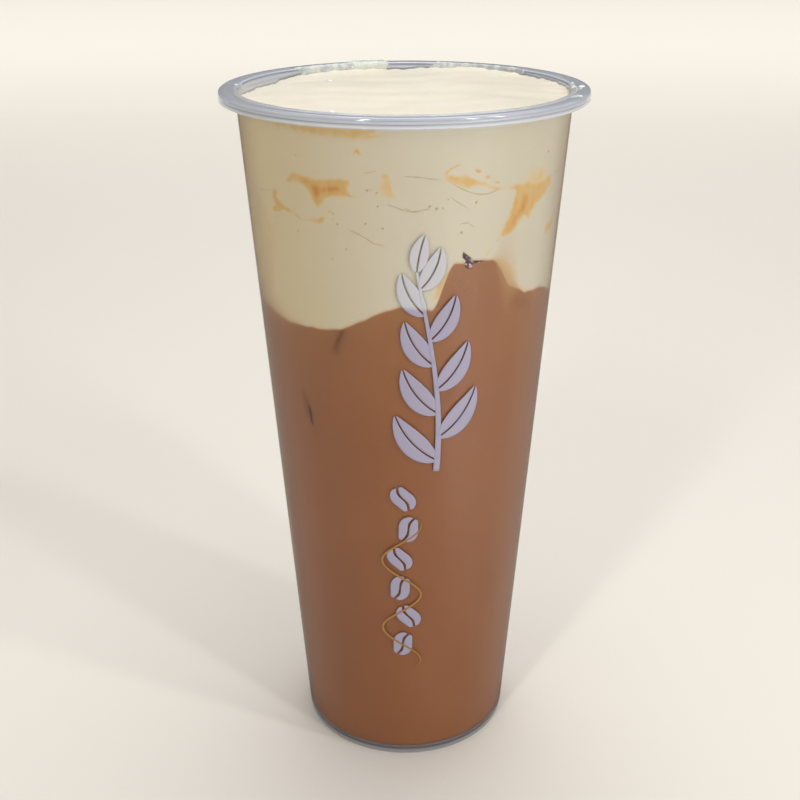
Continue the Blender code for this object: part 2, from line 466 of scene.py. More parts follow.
# %% Turn the cup
RIM_SLACK = 0.0006  # how far inside the wall's inner face a face still belongs to the rim
FOOT_SLACK = 0.0012  # and how far inside the foot ring to the foot
bm = bmesh.new()
cup_profile = floor_profile(0.0, 10) + rim_profile() + foot_profile()
turn_profile(bm, cup_profile, CUP_SEGMENTS)
for face in bm.faces:
    middle = face.calc_center_median()
    at_rim = middle.z > LIP_BOTTOM and middle.xy.length > inner_radius(middle.z) - RIM_SLACK
    at_foot = middle.z < FOOT_TOP and middle.xy.length > BASE_RADIUS - FOOT_WIDTH - FOOT_SLACK
    face.material_index = 1 if at_rim else 2 if at_foot else 0
plastics = [CLEAR_WALL, MILKY_RIM, MILKY_FOOT]
cup_shell = finish_piece("cup_shell", bm, plastics, "cup")
print("profile points", len(cup_profile))

# %% [markdown]
# ## Where the coffee meets the cream
# The cream is heavy and sinks unevenly, so the coffee's level swells and dips round the
# wall, and one ice cube holds a steep peak up. The cream's top is a low dome with faint
# folds. The same swells shape the solids. They work on whole arrays here, because the
# visible pieces have many more points.

# %% Levels
COFFEE_LEVEL = 0.1320
COFFEE_MIDDLE_RISE = 0.0055
BROAD_SWELLS = (  # angle from the front in degrees, half width, height
    (45, 101, 0.0080),
    (-3, 23, 0.0042),
    (44.5, 6, 0.0017),
    (-75, 40, 0.0018),
    (172, 62, 0.0090),
    (-118, 42, 0.0050),
)
PEAK_RISES = (9, 17.5)
PEAK_FALLS = (31, 45.5)
PEAK_MIDDLE = 24
PEAK_HEIGHT = 0.0122
PEAK_LEAN = 0.00007
CREAM_EDGE_DROP = 0.0019
CREAM_DOME = 0.0009
CREAM_DIP_ANGLE = -105
CREAM_DIP_HALF_WIDTH = 40
CREAM_DIP = 0.0024
EDGE_WAVES = ((3, 0.4, 0.0004), (7, 1.9, 0.0002))
FOLDS = ((0.0170, 0.00007, 84, 0.3), (0.0105, 0.00004, 97, 1.7))
FOLD_SWAY = 0.0035
FOLD_SWAY_LENGTH = 0.046
EDGE_RIPPLES = ((17, 0.7, 0.00014), (41, 2.1, 0.00008), (73, 4.0, 0.00005))
CREAM_RIPPLES = ((19, 1.0, 0.00012), (43, 2.2, 0.00010), (71, 0.4, 0.00008))


def turn_between(angle, middle):
    return (angle - middle + 180) % 360 - 180


def cosine_swell(distance, half_width):
    share = np.clip(np.abs(distance) / half_width, 0, 1)
    return 0.5 * (1 + np.cos(np.pi * share))


def soft_step(value, start, end):
    share = np.clip((value - start) / (end - start), 0, 1)
    return share * share * (3 - 2 * share)


def coffee_height(x, y):
    turn = np.arctan2(x, -y)
    angle = np.degrees(turn)
    rise = sum(h * cosine_swell(turn_between(angle, a), w) for a, w, h in BROAD_SWELLS)
    peak = soft_step(angle, *PEAK_RISES) * (1 - soft_step(angle, *PEAK_FALLS))
    rise = rise + peak * (PEAK_HEIGHT - PEAK_LEAN * (angle - PEAK_MIDDLE))
    rise = rise + sum(h * np.sin(n * turn + phase) for n, phase, h in EDGE_RIPPLES)
    share = np.clip(np.hypot(x, y) / inner_radius(COFFEE_LEVEL), 0, 1) ** 1.5
    return COFFEE_LEVEL + rise * share + COFFEE_MIDDLE_RISE * (1 - share)


def cream_height(x, y):
    turn = np.arctan2(x, -y)
    share = np.clip(np.hypot(x, y) / inner_radius(CUP_HEIGHT - CREAM_EDGE_DROP), 0, 1)
    height = CUP_HEIGHT - CREAM_EDGE_DROP + CREAM_DOME * (1 - share**2)
    height = height + share**2 * sum(h * np.sin(n * turn + p) for n, p, h in EDGE_WAVES)
    dip = cosine_swell(turn_between(np.degrees(turn), CREAM_DIP_ANGLE), CREAM_DIP_HALF_WIDTH)
    height = height - share**4 * CREAM_DIP * dip
    height = height + share**12 * sum(h * np.sin(n * turn + p) for n, p, h in CREAM_RIPPLES)
    for spacing, fold_height, direction, phase in FOLDS:
        cosine, sine = math.cos(math.radians(direction)), math.sin(math.radians(direction))
        across, along = x * cosine + y * sine, y * cosine - x * sine
        sway = FOLD_SWAY * np.sin(2 * np.pi * along / FOLD_SWAY_LENGTH + phase)
        height = height + fold_height * np.sin(2 * np.pi * (across + sway) / spacing + phase)
    return height


turns = np.radians(np.arange(0, 360, 5))
edge_levels = coffee_height(0.04 * np.sin(turns), -0.04 * np.cos(turns))
print("coffee's edge from", round(edge_levels.min(), 4), "to", round(edge_levels.max(), 4))

# %% [markdown]
# ## Painted shade and highlights on the rim and the foot
# Thick clear plastic looks darker where it folds and lighter where it bulges, and here that
# shade and light are painted into its colour. Painting that by hand would take an image. Here
# each point of the cup stores how near it is to a fold, a bulge or the cream's edge, and the
# milky plastic reads those numbers by name: painted shade at folds, under the flange and along
# the cream's edge, and painted highlights on bulges.

# %% Painted shade and highlights on the rim and the foot
FOOT_FOLD = 0.0020  # height of the fold above the foot ring
PAINTED_SHADE_RINGS = (  # painted shade where the thick plastic folds: radius, height and half width
    (GROOVE_X, CUP_HEIGHT - GROOVE_DROP, 0.00022),
    (RIM_RADIUS, CUP_HEIGHT - FLANGE_DROP - RIM_EDGE_RADIUS, 0.00016),
    (RIM_RADIUS - LINE_DEPTH, LINE_HEIGHT + 0.00002, 0.00012),
    (MOUTH_X, BEAD_TOP - 0.55 * BEAD_RADIUS, 0.00026),
    (wall_radius(FOOT_FOLD), FOOT_FOLD, 0.00050),
)
HIGHLIGHT_RIDGES = (  # painted highlights where it bulges and catches light
    (MOUTH_X + 0.55 * BEAD_RADIUS, BEAD_TOP, 0.00030),
    (RIM_RADIUS, LINE_HEIGHT + 0.0007, 0.00035),
    (RIM_RADIUS, LINE_HEIGHT - 0.0006, 0.00030),
)
RIDGE_SHARE, RIDGE_TURN = 0.6, 0.4  # the painted highlights are stronger in front and weaker behind
FLANGE_SHADE = 0.36  # the flange is thin, so its shaded underside shows through
FLANGE_TURN = 0.14  # how much less it does in front, and how much more behind
CREAM_EDGE_SHADOW_WIDTH = 0.00045  # a painted shadow line where the cream ends on the plastic
CREAM_EDGE_SHADOW_DARK = 0.9


def near_rings(radius, z, rings):
    """One on a ring, falling to nothing a little way from it."""
    value = np.zeros(len(z))
    for ring_radius, ring_z, half_width in rings:
        away = np.hypot(radius - ring_radius, z - ring_z) / half_width
        value = np.maximum(value, np.exp(-(away**2)))
    return value


x, y, z = read_points(cup_shell.data).T
radius = np.hypot(x, y)
to_front = np.cos(np.arctan2(x, -y))  # 1 in front, -1 behind
inside_lip = (radius < MOUTH_X + 0.0001) & (z > LIP_BOTTOM)
# A painted shadow along the cream's edge on the inside of the lip.
above_cream = (z - cream_height(x, y) - 0.0001) / CREAM_EDGE_SHADOW_WIDTH
cream_edge_shadow = np.where(inside_lip, np.exp(-(above_cream**2)), 0.0) * CREAM_EDGE_SHADOW_DARK
on_flange = (radius > GROOVE_X) & (z > CUP_HEIGHT - FLANGE_DROP - 0.0003)
flange = on_flange * (FLANGE_SHADE - FLANGE_TURN * to_front)
painted_shade = np.maximum(near_rings(radius, z, PAINTED_SHADE_RINGS), flange)
ridge_highlight = near_rings(radius, z, HIGHLIGHT_RIDGES) * (RIDGE_SHARE + RIDGE_TURN * to_front)
write_value(cup_shell.data, "painted_shade", np.maximum(painted_shade, cream_edge_shadow))
write_value(cup_shell.data, "ridge_highlight", ridge_highlight)
print("shaded points", int((painted_shade > 0.1).sum()), "and lit points", int((ridge_highlight > 0.1).sum()))

# %% [markdown]
# ## Pouring a filling
# A filling is first turned as a plain plug. Its points are then lifted between a lower and
# an upper surface, and pushed out to the wall's taper. It reaches a little way into the
# wall, as liquid wets plastic and leaves no air between.

# %% Pouring
FILL_SEGMENTS = 480


def fill_radius(z):
    return inner_radius(z) + INTO_WALL


def side_points(low, high, steps):
    heights = [high + (low - high) * i / steps for i in range(steps + 1)]
    return [(fill_radius(z), z) for z in heights]


def disc_points(z, rings):
    return [(fill_radius(z) * i / rings, z) for i in range(rings)]


def pour(mesh, low, high, low_at, high_at):
    """Lifts the plug's points from the heights low..high to low_at..high_at."""
    x, y, z = read_points(mesh).T
    share = np.clip((z - low) / (high - low), 0, 1)
    new_z = low_at(x, y) + (high_at(x, y) - low_at(x, y)) * share
    under = z < low - TOUCHING
    new_z = np.where(under, z, new_z)
    widen = np.where(under, 1.0, fill_radius(new_z) / fill_radius(z))
    write_points(mesh, np.stack([x * widen, y * widen, new_z], 1))


def wall_places(mesh):
    """Each point's angle from the front in degrees, its height and its distance from the axis."""
    x, y, z = read_points(mesh).T
    return np.degrees(np.arctan2(x, -y)), z, np.hypot(x, y)


def border_at(angle, radius):
    """The height of the border between coffee and cream there."""
    turn = np.radians(angle)
    return coffee_height(radius * np.sin(turn), -radius * np.cos(turn))


print("a filling's radius at the border is", round(fill_radius(COFFEE_LEVEL) * 1000, 2), "mm")


# %% [markdown]
# ## Marks on the wall
# What shows against the wall is drawn in wall places: an angle from the front in degrees and
# a height in millimetres. A stroke is the mark of a round brush that runs from one place to
# another and changes its width. A patch is the area inside an outline. Distances to them are
# stored on the points, and the material turns them into edges, which stay crisp that way.

# %% Strokes and patches
def on_wall(angle, up):
    """Millimetres round the wall from the front, for an angle and a height in millimetres."""
    return np.radians(angle) * wall_radius(up / 1000) * 1000


def from_segment(along, up, start, end):
    """How far each point is from a straight piece, and its share of the way along it."""
    step_x, step_z = end[0] - start[0], end[1] - start[1]
    share = ((along - start[0]) * step_x + (up - start[1]) * step_z) / (step_x**2 + step_z**2)
    share = np.clip(share, 0, 1)
    return np.hypot(along - start[0] - share * step_x, up - start[1] - share * step_z), share


def stroke_cover(angle, z, strokes, soft):
    """How much the strokes cover each point (0 to 1), and the depth of what covers it."""
    up = z * 1000
    along = on_wall(angle, up)
    cover, depth = np.zeros(len(angle)), np.zeros(len(angle))
    for start_angle, start_z, start_width, end_angle, end_z, end_width, tone in strokes:
        start = (on_wall(start_angle, start_z), start_z)
        away, share = from_segment(along, up, start, (on_wall(end_angle, end_z), end_z))
        width = start_width + (end_width - start_width) * share
        here = np.clip(0.5 + (width - away) / soft, 0, 1)
        cover = np.maximum(cover, here)
        depth = np.maximum(depth, here * tone)
    return cover, depth


SEEP_BLUR = 1.5
FAR = 99.0  # millimetres, more than any distance on the wall


def patch_cover(angle, z, patches):
    """The same for patches, each with its own depth, softness in millimetres and outline."""
    up = z * 1000
    along = on_wall(angle, up)
    cover, depth = np.zeros(len(angle)), np.zeros(len(angle))
    for tone, soft, outline in patches:
        corners = [(on_wall(a, h), h) for a, h in outline]
        away, inside = np.full(len(angle), FAR), np.zeros(len(angle), bool)
        for (ax, az), (bx, bz) in zip(corners, corners[1:] + corners[:1]):
            away = np.minimum(away, from_segment(along, up, (ax, az), (bx, bz))[0])
            if bz != az:
                crossing = (bx - ax) * (up - az) / (bz - az) + ax
                inside ^= ((az > up) != (bz > up)) & (along < crossing)
        deep = np.where(inside, away, -away)
        here = np.clip(0.5 + deep / (soft * SEEP_BLUR), 0, 1)
        cover = np.maximum(cover, here)
        depth = np.maximum(depth, here * tone)
    return cover, depth


SEEP_PATCHES = (  # how deep the coffee is, how soft the edge is, and the outline
    (0.2, 2.6, (
        (-64.1, 164.5), (-57.4, 162.9), (-51.9, 156.6), (-52.1, 153.5), (-53.6, 148.9),
        (-55.7, 143.4), (-59.7, 138.8), (-62.7, 139.1), (-64.4, 143.9), (-65.5, 148.5),
        (-67.0, 153.5), (-66.3, 160.2),
    )),
    (0.62, 1.0, (
        (-43.3, 169.6), (-40.0, 172.1), (-36.9, 172.5), (-34.3, 171.7), (-29.2, 171.5),
        (-24.1, 172.0), (-18.1, 172.3), (-17.8, 171.6), (-18.4, 169.8), (-17.6, 168.5),
        (-15.8, 168.0), (-19.9, 167.9), (-24.4, 167.7), (-26.7, 166.9), (-28.2, 165.4),
        (-29.6, 164.6), (-30.8, 165.2), (-31.9, 166.9), (-33.0, 168.4), (-35.0, 169.5),
        (-38.2, 170.0), (-41.2, 169.6),
    )),
    (1.0, 1.9, (
        (-33.0, 169.8), (-28.0, 170.6), (-19.5, 170.6), (-19.5, 168.8), (-25.5, 168.4),
        (-28.0, 166.8), (-29.5, 165.4), (-31.0, 167.0),
    )),
    (0.55, 0.8, (
        (-51.3, 166.5), (-49.2, 167.2), (-47.9, 166.4), (-48.5, 165.2), (-47.1, 164.3),
        (-44.5, 163.3), (-41.9, 162.7), (-38.9, 162.3), (-36.7, 161.2), (-33.9, 161.3),
        (-32.0, 161.6), (-26.9, 162.7), (-27.2, 161.9), (-28.7, 160.4), (-30.4, 160.7),
        (-33.5, 160.9), (-37.7, 160.7), (-40.5, 161.7), (-43.6, 162.1), (-46.5, 162.0),
        (-49.1, 161.1), (-51.1, 161.1), (-52.2, 162.0), (-49.9, 163.1), (-50.9, 164.4),
    )),
    (0.8, 0.9, ((-48.5, 164.8), (-46.0, 163.7), (-45.0, 162.4), (-47.8, 162.6))),
    (0.8, 0.9, ((-31.2, 161.6), (-27.6, 162.3), (-28.7, 160.7), (-30.2, 160.9))),
    (0.42, 1.5, (
        (-56.0, 183.6), (-26.5, 184.4), (-8.0, 184.4), (-9.0, 183.0), (-13.8, 181.6),
        (-17.9, 181.3), (-21.4, 181.7), (-27.4, 181.7), (-33.8, 181.9), (-39.1, 182.2),
    )),
    (0.46, 1.8, (
        (-34.0, 183.6), (-26.0, 183.4), (-19.0, 182.8), (-15.0, 181.9), (-20.0, 182.2),
        (-31.0, 182.4),
    )),
    (0.3, 1.2, (
        (-7.4, 173.3), (-6.3, 173.9), (-4.7, 173.5), (-4.6, 172.4), (-3.9, 170.8), (-3.1, 168.3),
        (-6.4, 168.3), (-8.2, 170.0), (-7.3, 171.5),
    )),
    (0.72, 0.7, ((-7.4, 173.0), (-6.3, 173.9), (-4.9, 173.6), (-4.9, 172.9), (-6.1, 173.2))),
    (0.5, 0.7, ((-6.4, 170.9), (-4.0, 170.9), (-4.3, 170.0), (-6.0, 170.2))),
    (0.45, 0.9, (
        (13.2, 172.1), (13.1, 173.8), (14.4, 173.3), (17.5, 173.0), (19.7, 173.2), (21.3, 172.5),
        (24.7, 171.4), (27.2, 170.7), (29.0, 170.0), (32.2, 169.3), (39.0, 168.7), (32.3, 168.4),
        (29.1, 169.2), (26.4, 170.0), (23.1, 170.4), (21.5, 170.2), (20.8, 169.7), (19.2, 169.8),
        (16.8, 170.9), (14.1, 171.8),
    )),
    (0.62, 1.2, ((16.5, 172.4), (20.5, 172.0), (20.5, 170.3), (18.8, 170.2))),
    (0.6, 1.0, (
        (36.0, 168.6), (39.0, 169.0), (42.7, 169.2), (45.6, 169.0), (50.3, 168.0), (53.7, 168.3),
        (56.5, 169.2), (60.3, 168.8), (60.7, 166.5), (57.9, 165.2), (54.3, 163.7), (50.9, 162.8),
        (48.5, 161.4), (47.6, 159.6), (44.6, 160.9), (42.6, 160.4), (41.8, 158.8), (39.3, 157.4),
        (36.3, 156.6), (34.3, 156.4), (34.2, 157.4), (35.9, 159.5), (37.2, 161.1), (38.4, 163.2),
        (39.1, 164.9), (39.9, 166.5), (39.6, 167.9),
    )),
    (0.92, 2.2, (
        (42.0, 167.6), (47.0, 167.0), (48.0, 164.0), (46.0, 161.4), (41.5, 159.8), (38.5, 158.0),
        (37.5, 158.6), (40.5, 163.0), (41.5, 165.0),
    )),
    (0.25, 2.2, ((43.0, 168.5), (46.5, 171.8), (53.5, 171.4), (57.0, 169.0), (50.0, 167.0))),
    (0.62, 0.9, ((67.3, 156.6), (66.9, 154.9), (62.4, 153.8), (59.5, 153.3), (61.3, 156.4))),
    (0.3, 1.3, (
        (31.0, 151.0), (35.5, 151.3), (38.6, 150.3), (40.6, 148.2), (42.3, 146.2), (41.8, 144.9),
        (44.2, 143.2), (47.9, 141.6), (52.0, 140.4), (44.0, 140.4), (38.0, 143.5), (34.0, 148.2),
    )),
    (0.42, 0.7, ((9.6, 142.0), (11.6, 147.5), (14.6, 149.6), (17.5, 151.2), (17.5, 146.0))),
)
SEEP_STROKES = (  # angle, height, half width at one end and at the other, and how deep it is
    (-16.0, 178.1, 0.2, -15.0, 179.0, 0.4, 0.7),
    (-15.0, 179.0, 0.4, -13.9, 178.1, 0.2, 0.6),
    (13.2, 173.8, 0.35, 15.2, 175.0, 0.3, 0.55),
    (15.2, 175.0, 0.3, 17.6, 175.6, 0.35, 0.6),
    (23.4, 173.8, 0.45, 24.6, 173.6, 0.5, 0.75),
    (27.0, 172.2, 0.4, 28.1, 172.0, 0.45, 0.5),
    (30.6, 170.5, 0.3, 32.0, 170.4, 0.35, 0.6),
    (-11.3, 169.9, 0.25, -10.9, 169.9, 0.3, 0.8),
    (-25.9, 164.3, 0.2, -25.0, 163.8, 0.25, 0.7),
    (-24.3, 162.4, 0.2, -24.2, 161.8, 0.2, 0.7),
    (33.6, 156.3, 0.2, 33.0, 155.8, 0.2, 0.5),
    (30.4, 153.9, 0.25, 29.0, 152.8, 0.2, 0.45),
    (-12.9, 181.9, 0.6, -6.0, 183.0, 0.4, 0.3),
)
print(len(SEEP_PATCHES), "patches and", len(SEEP_STROKES), "strokes of coffee in the cream")

# %% [markdown]
# ## The milk coffee
# Iced milk coffee is an opaque orange brown. Against the wall it shows where ice presses on
# the plastic: a dark slit where two cubes meet, and a soft shade round it, both painted shade.
# The marks are strokes as well. Near the cream the coffee turns lighter, because the two
# mingle there. On the right a skin of cream hangs down over it, so the coffee's wall has the
# cream's colour.

# %% Coffee marks and colour
# Dark slits where two cubes meet: painted shade.
ICE_SLIT_SHADOWS = (
    (-41.7, 109.9, 0.35, -41.0, 105.4, 0.35, 1.0),
    (-22.8, 133.9, 0.25, -24.9, 131.3, 0.55, 0.42),
    (-24.9, 131.3, 0.55, -27.8, 127.5, 0.15, 0.48),
    (35.6, 12.1, 0.15, 36.6, 5.8, 0.15, 0.5),
    (112.0, 88.0, 0.3, 113.0, 81.0, 0.4, 0.8),
    (-150.0, 119.0, 0.5, -146.0, 113.0, 0.2, 0.6),
    (-101.0, 62.0, 0.2, -102.0, 57.0, 0.3, 0.6),
)
# Painted shade round the slits and in a few more places on the coffee's wall.
ICE_SHADES = (
    (-44.3, 113.2, 0.5, -41.8, 108.0, 1.3, 0.9),
    (-41.0, 105.4, 0.6, -39.2, 103.8, 0.2, 0.7),
    (-29.6, 130.4, 0.7, -27.0, 126.2, 0.5, 0.4),
    (-23.3, 133.0, 1.1, -26.4, 128.0, 1.0, 0.8),
    (18.3, 117.5, 0.6, 13.7, 114.7, 0.8, 0.5),
    (44.0, 138.6, 1.4, 53.0, 136.7, 1.6, 0.4),
    (22.0, 150.5, 0.7, 33.0, 150.0, 0.5, 0.4),
    (110.0, 90.0, 1.2, 114.0, 80.0, 1.6, 0.5),
    (-152.0, 121.0, 1.5, -146.0, 112.0, 1.0, 0.5),
    (160.0, 60.0, 2.5, 166.0, 48.0, 2.0, 0.35),
    (78.0, 40.0, 1.5, 82.0, 30.0, 1.0, 0.3),
)


SHADED_WALL_CREAM = ((0.575, 0.518, 0.385), (0.612, 0.556, 0.428))  # cream against the wall, painted darker than the top as painted shade
COFFEE_BROWN = ((0.237, 0.078, 0.0205), (0.268, 0.094, 0.0275))
LIGHT_BROWN = (0.42, 0.225, 0.085)
# Colours of the painted shade and of the painted dark slits.
SHADE_BROWN, SLIT_SHADOW_BROWN = (0.13, 0.036, 0.012), (0.030, 0.006, 0.003)


def mingle_depth(angle):
    """How far cream and coffee mingle at the border, in metres: wide on the left, thin in front."""
    left = cosine_swell(turn_between(angle, -72), 34)
    peak_side = cosine_swell(turn_between(angle, 39), 8)
    back = cosine_swell(turn_between(angle, 150), 50)
    return 0.0003 + 0.0034 * left + 0.0052 * peak_side + 0.0016 * back


def cream_skirt(angle):
    """How far a skin of cream hangs down over the coffee on the right, in metres."""
    return 0.0033 * cosine_swell(turn_between(angle, 85), 28)


def make_milk_coffee():
    material, tree, shader = new_material("milk_coffee")
    shade, _ = film(tree, 26.0, 500.0, 0.12)
    colour = shades(tree, shade, *COFFEE_BROWN)
    lighter = maths(tree, "MULTIPLY", stored(tree, "mingled"), 0.75)
    colour = tint(tree, lighter, colour, LIGHT_BROWN)
    shaded = spread(tree, stored(tree, "ice_shade"), 0.0, 1.0, 0.0, 0.8)
    colour = tint(tree, shaded, colour, SHADE_BROWN)
    slit = spread(tree, stored(tree, "ice_slit_shadow"), 0.05, 0.9)
    colour = tint(tree, slit, colour, SLIT_SHADOW_BROWN)
    skin = shades(tree, shade, *SHADED_WALL_CREAM)
    colour = tint(tree, stored(tree, "under_cream"), colour, skin)
    set_surface(tree, shader, colour, shade, (0.32, 0.45), shade, FINE_RELIEF)
    return material


# %% Coffee
COFFEE_FILLET = 0.0008  # the thick corner of the base shows the coffee a little lower
COFFEE_RINGS, COFFEE_ROWS = 12, 142
FINE_DEPTH, FINE_ROWS = 0.008, 26  # close rows under the border, for the edge of the skin
SKIN_EDGE = 0.0003
HAZE, HAZE_DEPTH = 0.3, 0.014  # a weak lighter haze that reaches deeper than the mingling
bm = bmesh.new()
coffee_floor = floor_profile(-INTO_WALL, 8, COFFEE_FILLET)
side_low, fine_from = coffee_floor[-1][1], COFFEE_LEVEL - FINE_DEPTH
coffee_profile = disc_points(COFFEE_LEVEL, COFFEE_RINGS)
coffee_profile += side_points(fine_from, COFFEE_LEVEL, FINE_ROWS)
coffee_profile += side_points(side_low, fine_from, COFFEE_ROWS)[1:]
turn_profile(bm, coffee_profile + coffee_floor[-2::-1], FILL_SEGMENTS)
sharpen_corners(bm)
coffee_fill = finish_piece("coffee_fill", bm, [make_milk_coffee()], "milk_coffee")
pour(coffee_fill.data, side_low, COFFEE_LEVEL, lambda x, y: side_low, coffee_height)

angle, z, radius = wall_places(coffee_fill.data)
below = np.maximum(border_at(angle, radius) - z, 0)
skirt = cream_skirt(angle)
under_cream = (skirt > 0.0001) * soft_step(skirt - below, -SKIN_EDGE, SKIN_EDGE)
mingled = np.maximum(np.exp(-below / mingle_depth(angle)), HAZE * np.exp(-below / HAZE_DEPTH))
write_value(coffee_fill.data, "mingled", mingled)
write_value(coffee_fill.data, "under_cream", under_cream)
write_value(coffee_fill.data, "ice_slit_shadow", stroke_cover(angle, z, ICE_SLIT_SHADOWS, 0.7)[1])
write_value(coffee_fill.data, "ice_shade", stroke_cover(angle, z, ICE_SHADES, 3.0)[1])
print("coffee from", round(z.min(), 4), "to", round(z.max(), 4))

# %% [markdown]
# ## The salted cream
# The cream is whipped until it is thick, so it keeps soft folds on top. Its side is painted
# darker than its top: painted shade, as the light falls on the top. It is also a little
# yellower there. Where coffee crept in between, it turns amber. The deeper the coffee there,
# the browner it looks.

# %% Cream colour
def back_patches(count, seed):
    """Seeded patches of coffee on the far side: ovals with a wandering outline and a drip."""
    picker = random.Random(seed)
    patches = []
    for _ in range(count):
        middle_angle, middle_z = picker.uniform(88, 272), picker.uniform(156, 182)
        wide, tall = picker.uniform(3, 9), picker.uniform(0.7, 2.4)
        lean, drip = picker.uniform(-0.25, 0.25), picker.randrange(9, 14)
        outline = []
        for corner in range(18):
            turn = 2 * math.pi * corner / 18
            size = picker.uniform(0.65, 1.15) * (1.9 if corner == drip else 1.0)
            off = wide * size * math.cos(turn)
            place = (middle_angle + off, middle_z + tall * size * math.sin(turn) + lean * off)
            outline.append(place)
        patches.append((picker.uniform(0.35, 0.7), 1.0, tuple(outline)))
        core = [
            (middle_angle + (at_angle - middle_angle) * 0.5, middle_z + (at_z - middle_z) * 0.4)
            for at_angle, at_z in outline
        ]
        patches.append((picker.uniform(0.7, 1.0), 1.8, tuple(core)))
    return tuple(patches)


# The top's cream is the lit copy of the side's colour: painted light.
LIT_TOP_CREAM = ((0.825, 0.757, 0.605), (0.875, 0.81, 0.672))
LEFT_YELLOW = (0.67, 0.525, 0.265)
PALE_STAIN, AMBER_STAIN, DEEP_STAIN = (0.64, 0.50, 0.28), (0.62, 0.385, 0.125), (0.55, 0.245, 0.05)
MINGLED_BROWN = (0.47, 0.28, 0.14)
RAGGED = 0.95  # how far noise pushes the edge of a stain in and out


def make_salted_cream():
    material, tree, shader = new_material("salted_cream")
    shade, grain = film(tree, 24.0, 420.0, 0.15)
    # The side takes the darker copy: painted shade.
    wall = tint(tree, stored(tree, "yellow"), shades(tree, shade, *SHADED_WALL_CREAM), LEFT_YELLOW)
    colour = tint(tree, stored(tree, "at_wall"), shades(tree, shade, *LIT_TOP_CREAM), wall)
    ragged = maths(tree, "SUBTRACT", noise(tree, 620.0, 4.0), 0.5)
    ragged = maths(tree, "MULTIPLY", ragged, RAGGED)
    cover = maths(tree, "ADD", stored(tree, "seep"), ragged)
    depth = maths(tree, "ADD", stored(tree, "seep_depth"), maths(tree, "MULTIPLY", ragged, 0.4))
    streaks = noise(tree, 420.0, 2.0, stretch=(1.0, 1.0, 0.22))
    streaks = spread(tree, streaks, *PATTERN_RANGE, 0.72, 1.18)
    depth = maths(tree, "MULTIPLY", depth, streaks)
    stain = tint(tree, spread(tree, depth, 0.1, 0.6), PALE_STAIN, AMBER_STAIN)
    stain = tint(tree, spread(tree, depth, 0.55, 1.0), stain, DEEP_STAIN)
    colour = tint(tree, spread(tree, cover, 0.05, 0.9), colour, stain)
    colour = tint(tree, stored(tree, "mingled"), colour, MINGLED_BROWN)
    swipes = noise(tree, 160.0, 3.0, stretch=(0.16, 1.0, 1.0))
    relief = maths(tree, "ADD", swipes, maths(tree, "MULTIPLY", grain, 0.2))
    set_surface(tree, shader, colour, shade, (0.30, 0.42), relief, 0.00005)
    shader.inputs["Subsurface Weight"].default_value = 0.25
    shader.inputs["Subsurface Radius"].default_value = (1.0, 0.7, 0.4)
    shader.inputs["Subsurface Scale"].default_value = 0.002
    return material


# %% Cream
CREAM_RINGS, CREAM_ROWS, HIDDEN_RINGS = 44, 112, 8
AT_WALL = (-0.0006, -0.0001)  # the strip beside the wall where the top's colour ends
BARE = (0.0001, 0.0007)  # where the skin of cream hangs, the border has no brown edge
bm = bmesh.new()
cream_low, cream_high = COFFEE_LEVEL, CUP_HEIGHT - CREAM_EDGE_DROP
cream_profile = disc_points(cream_high, CREAM_RINGS)
cream_profile += side_points(cream_low, cream_high, CREAM_ROWS)
turn_profile(bm, cream_profile + disc_points(cream_low, HIDDEN_RINGS)[::-1], FILL_SEGMENTS)
sharpen_corners(bm)
cream_fill = finish_piece("cream_fill", bm, [make_salted_cream()], "cream_cap")
pour(cream_fill.data, cream_low, cream_high, coffee_height, cream_height)

angle, z, radius = wall_places(cream_fill.data)
at_wall = soft_step(radius - fill_radius(z), *AT_WALL)
all_round = angle % 360  # the far side runs from 88 to 272 degrees without a jump
cover, depth = patch_cover(angle, z, SEEP_PATCHES)
for more_cover, more_depth in (
    stroke_cover(angle, z, SEEP_STROKES, 0.8),
    patch_cover(all_round, z, back_patches(9, 11)),
):
    cover, depth = np.maximum(cover, more_cover), np.maximum(depth, more_depth)
above = np.maximum(z - border_at(angle, radius), 0)
bare = 1 - soft_step(cream_skirt(angle), *BARE)
write_value(cream_fill.data, "yellow", at_wall * cosine_swell(turn_between(angle, -85), 95))
write_value(cream_fill.data, "at_wall", at_wall)
write_value(cream_fill.data, "seep", cover * at_wall)
write_value(cream_fill.data, "seep_depth", depth * at_wall)
write_value(cream_fill.data, "mingled", at_wall * bare * np.exp(-above / mingle_depth(angle)))
print("cream from", round(z.min(), 4), "to", round(z.max(), 4))

# %% [markdown]
# ## Ribbons on the wall
# Thin cracks in the cream, the printed leaves and the gold line are all the same kind of
# shape: a band that follows a path on the wall and changes its width. One helper bends a
# flat grid along the path, and another gives all bands of a piece their thickness. Angles
# are in degrees and heights in millimetres, as for the strokes.

# %% Ribbons
def wall_place(along, up, lift):
    """A place on the wall from its distance round the front and its height, in millimetres."""
    z = up / 1000
    radius = wall_radius(z)
    turn = along / 1000 / radius
    return ((radius + lift) * math.sin(turn), -(radius + lift) * math.cos(turn), z)


def beside(path, t, off):
    """The place at path(t), moved across the path by off millimetres."""
    here, ahead, behind = path(t), path(t + 0.01), path(t - 0.01)
    across = (-(ahead[1] - behind[1]), ahead[0] - behind[0])
    share = off / (math.hypot(*across) or 1.0)
    return here[0] + across[0] * share, here[1] + across[1] * share


def ribbon(bm, path, width_at, lift, steps, lanes=2):
    """Bends a grid along path(t) with half width width_at(t), for t from 0 to 1."""
    made = bmesh.ops.create_grid(bm, x_segments=steps, y_segments=lanes, size=0.5)
    for vert in made["verts"]:
        t, side = vert.co.x + 0.5, vert.co.y * 2
        vert.co = wall_place(*beside(path, t, side * width_at(t)), lift)
    bmesh.ops.remove_doubles(bm, verts=made["verts"], dist=TOUCHING)


